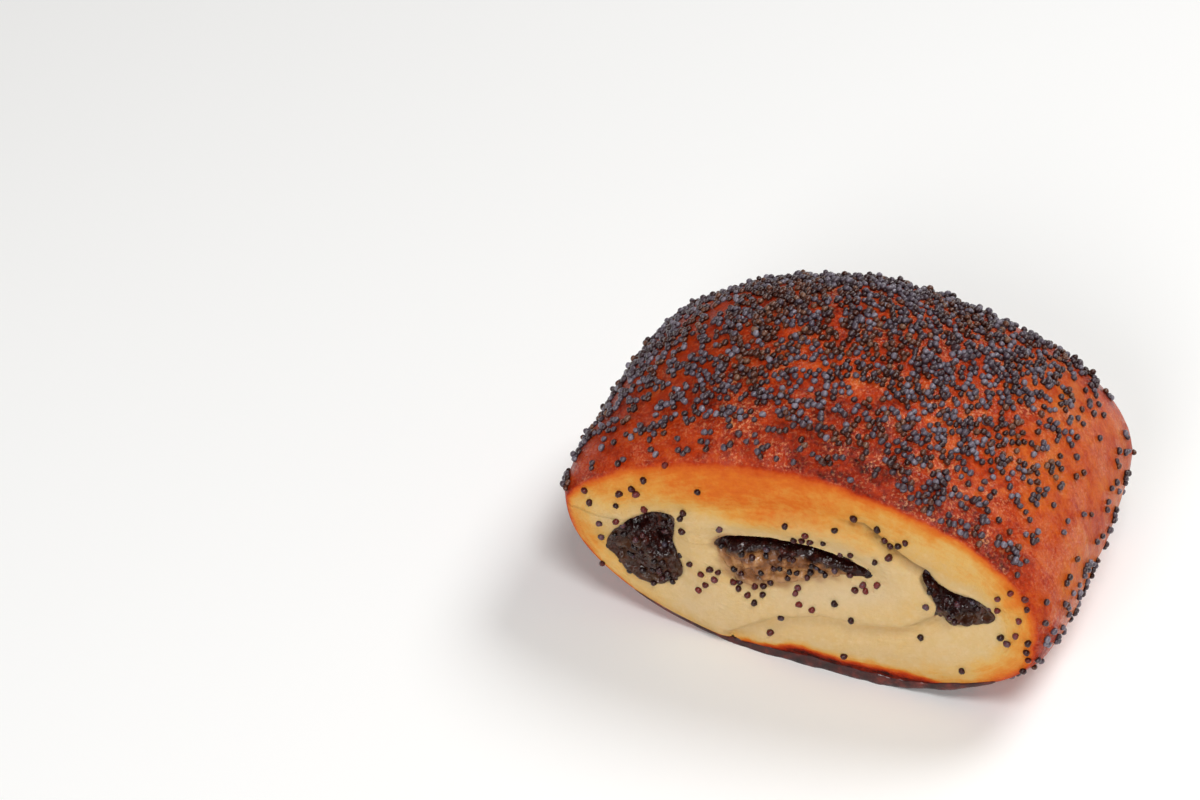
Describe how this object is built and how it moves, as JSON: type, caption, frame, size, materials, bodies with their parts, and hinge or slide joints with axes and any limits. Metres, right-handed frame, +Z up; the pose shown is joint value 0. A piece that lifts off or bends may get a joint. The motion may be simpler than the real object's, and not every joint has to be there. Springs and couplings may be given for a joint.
{
  "type": "poppy seed roll",
  "caption": "Glazed yeast roll cut from a baked log, crusted with poppy seeds, with pockets of dark seed filling open at both cut faces.",
  "frame": {"origin": "middle of the base, on the surface the roll rests on", "axes": "+Z up, +X across the cut faces, +Y along the log from the front cut face to the back one"},
  "size_m": [0.0908, 0.0617, 0.0514],
  "materials": {
    "dough": "egg-glazed orange-brown crust with pale cream cut faces",
    "filling": "moist black-brown seed paste in syrup"
  },
  "bodies": {
    "root": {"dough": "dough", "filling_left": "filling", "filling_middle": "filling", "filling_right": "filling"}
  },
  "joints": []
}
